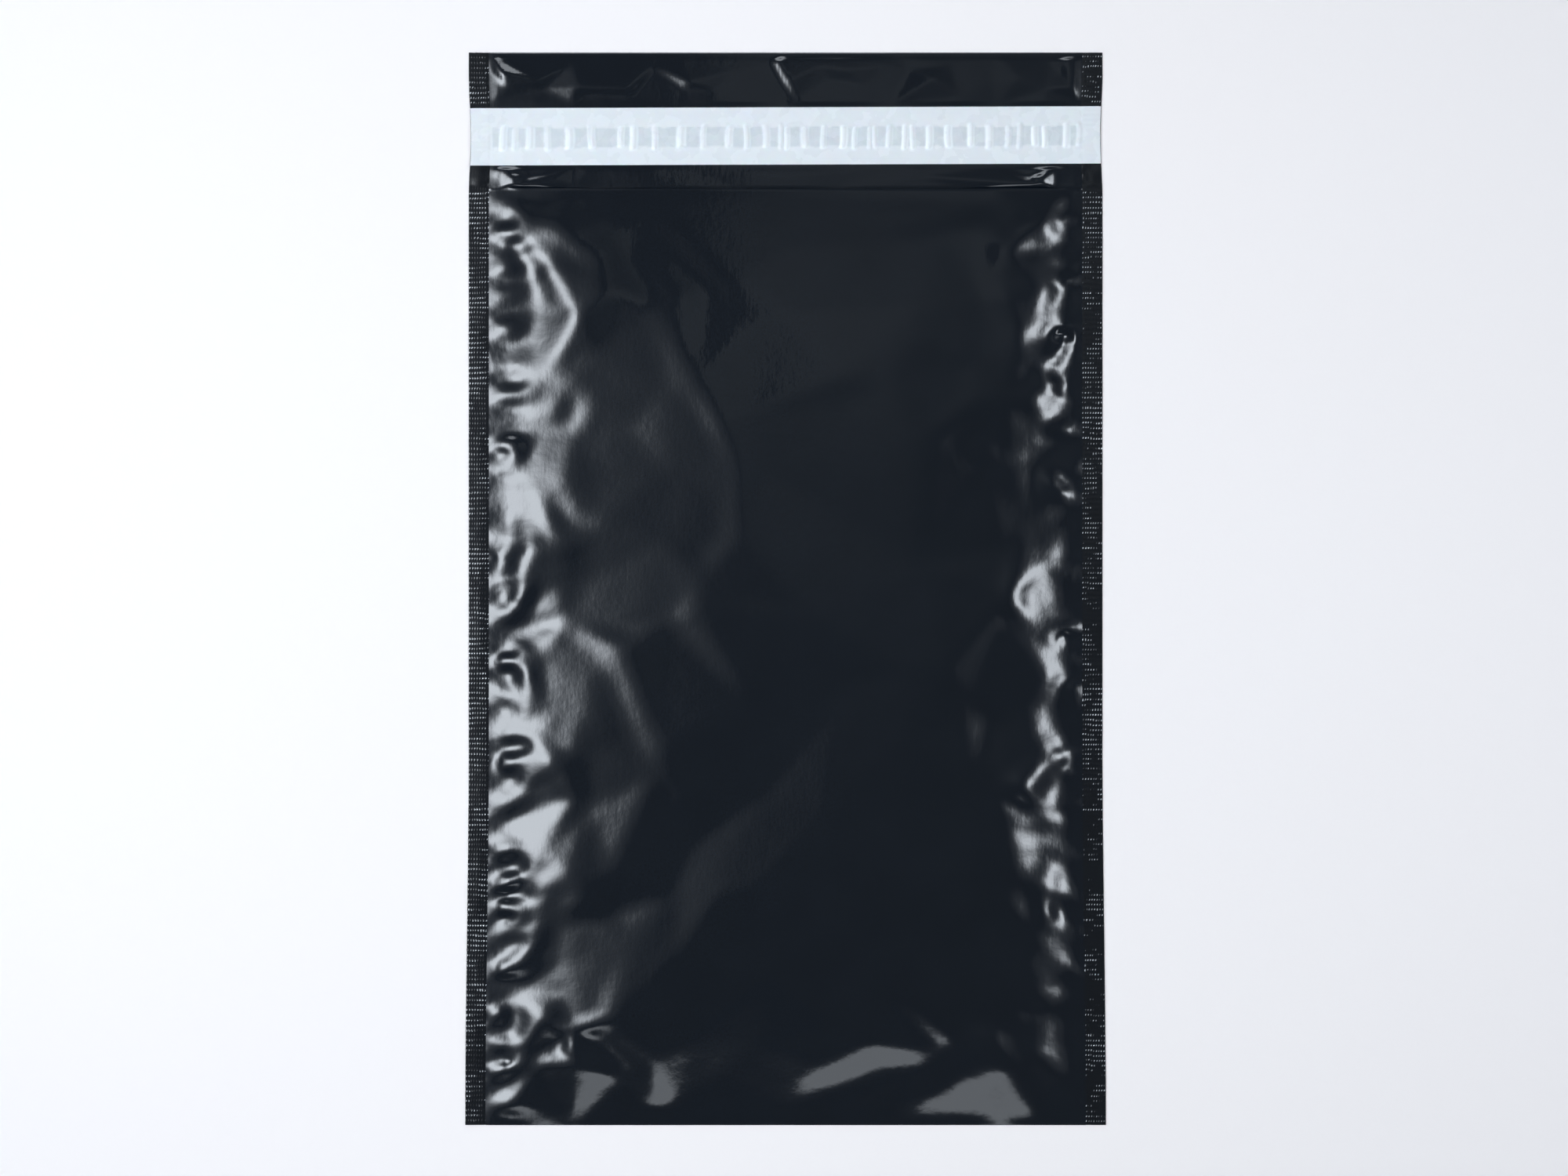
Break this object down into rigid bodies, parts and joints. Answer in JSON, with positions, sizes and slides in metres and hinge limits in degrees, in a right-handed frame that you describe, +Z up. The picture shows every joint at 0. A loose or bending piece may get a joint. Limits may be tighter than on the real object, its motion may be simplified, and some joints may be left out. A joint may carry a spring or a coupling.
{
  "type": "poly mailer bag",
  "caption": "Flat plastic mailing bag with crimped side welds, an open mouth, and a flap with a liner-covered adhesive strip.",
  "frame": {"origin": "middle of the bag's footprint, on the surface that its back panel lies on", "axes": "+X across the bag's width, +Y from the bottom fold towards the flap, +Z up from the back panel to the front panel"},
  "size_m": [0.2426, 0.4062, 0.0067],
  "materials": {
    "black_film": "glossy black polyethylene film with a slight navy cast",
    "clear_adhesive": "tacky hot-melt bead, seen through the liner as a grey-blue band",
    "white_liner": "satin white siliconed film"
  },
  "bodies": {
    "root": {"film_pouch": "black_film", "adhesive_strip": "clear_adhesive", "release_liner": "white_liner"}
  },
  "joints": []
}
